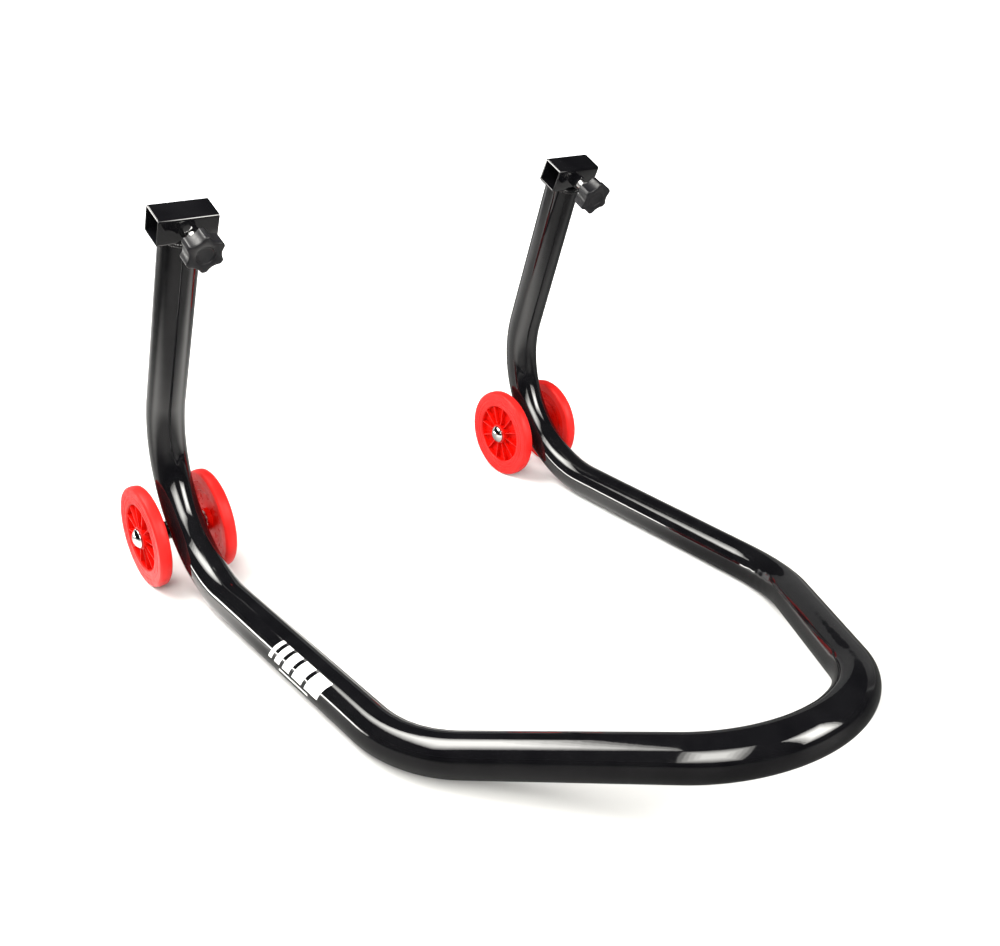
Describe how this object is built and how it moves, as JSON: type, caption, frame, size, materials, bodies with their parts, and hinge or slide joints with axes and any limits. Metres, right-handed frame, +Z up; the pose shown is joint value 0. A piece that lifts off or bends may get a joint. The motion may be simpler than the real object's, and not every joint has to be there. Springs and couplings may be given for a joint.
{
  "type": "motorcycle rear paddock stand",
  "caption": "U-shaped bent-tube stand that lifts a motorcycle's rear end, with clamp sockets for swingarm adapters and small roller wheels.",
  "frame": {"origin": "on the floor, under the middle of the overall length and width", "axes": "+X across the stand, +Y from the handle towards the wheels, +Z up"},
  "size_m": [0.5236, 0.6609, 0.3715],
  "materials": {
    "black_paint": "gloss powder coat",
    "black_plastic": "satin moulded",
    "red_plastic": "semi-gloss moulded",
    "zinc_plate": "bright zinc",
    "chrome_plate": "polished",
    "white_print": "printed film"
  },
  "bodies": {
    "frame": {"main_frame_tube": "black_paint", "left_head_socket": "black_paint", "left_socket_weld": "black_paint", "left_weld_nut": "black_paint", "right_head_socket": "black_paint", "right_socket_weld": "black_paint", "right_weld_nut": "black_paint", "left_axle_sleeve": "black_paint", "left_sleeve_weld": "black_paint", "left_axle_rod": "zinc_plate", "left_outer_washer": "zinc_plate", "left_outer_axle_cap": "chrome_plate", "left_inner_washer": "zinc_plate", "left_inner_axle_cap": "chrome_plate", "right_axle_sleeve": "black_paint", "right_sleeve_weld": "black_paint", "right_axle_rod": "zinc_plate", "right_outer_washer": "zinc_plate", "right_outer_axle_cap": "chrome_plate", "right_inner_washer": "zinc_plate", "right_inner_axle_cap": "chrome_plate", "rail_graphic": "white_print"},
    "left_knob": {"left_jam_nut": "zinc_plate", "left_star_knob": "black_plastic", "left_knob_cap": "black_plastic"},
    "left_screw": {"left_clamp_screw": "zinc_plate"},
    "right_knob": {"right_jam_nut": "zinc_plate", "right_star_knob": "black_plastic", "right_knob_cap": "black_plastic"},
    "right_screw": {"right_clamp_screw": "zinc_plate"},
    "left_outer_wheel": {"left_outer_wheel": "red_plastic"},
    "left_inner_wheel": {"left_inner_wheel": "red_plastic"},
    "right_outer_wheel": {"right_outer_wheel": "red_plastic"},
    "right_inner_wheel": {"right_inner_wheel": "red_plastic"}
  },
  "joints": [
    {"name": "left_screw_travel", "type": "slide", "parent": "frame", "child": "left_screw", "axis": [0, -0.8934, -0.4493], "range_m": [-0.0055, 0.005]},
    {"name": "left_knob_turn", "type": "hinge", "parent": "left_screw", "child": "left_knob", "pos_m": [-0.20801, 0.1902, 0.34996], "axis": [0, -0.8934, -0.4493], "range_deg": [-1585, 1441]},
    {"name": "left_outer_wheel_spin", "type": "hinge", "parent": "frame", "child": "left_outer_wheel", "pos_m": [-0.21617, 0.28053, 0.05], "axis": [1, 0, 0], "continuous": true},
    {"name": "left_inner_wheel_spin", "type": "hinge", "parent": "frame", "child": "left_inner_wheel", "pos_m": [-0.21617, 0.28053, 0.05], "axis": [1, 0, 0], "continuous": true},
    {"name": "right_screw_travel", "type": "slide", "parent": "frame", "child": "right_screw", "axis": [0, -0.8934, -0.4493], "range_m": [-0.0055, 0.005]},
    {"name": "right_knob_turn", "type": "hinge", "parent": "right_screw", "child": "right_knob", "pos_m": [0.20801, 0.1902, 0.34996], "axis": [0, -0.8934, -0.4493], "range_deg": [-1585, 1441]},
    {"name": "right_outer_wheel_spin", "type": "hinge", "parent": "frame", "child": "right_outer_wheel", "pos_m": [0.21617, 0.28053, 0.05], "axis": [1, 0, 0], "continuous": true},
    {"name": "right_inner_wheel_spin", "type": "hinge", "parent": "frame", "child": "right_inner_wheel", "pos_m": [0.21617, 0.28053, 0.05], "axis": [1, 0, 0], "continuous": true}
  ],
  "couplings": [
    {"joint": "left_knob_turn", "follows": "left_screw_travel", "rad_per_m": 5026.5},
    {"joint": "right_knob_turn", "follows": "right_screw_travel", "rad_per_m": 5026.5}
  ]
}
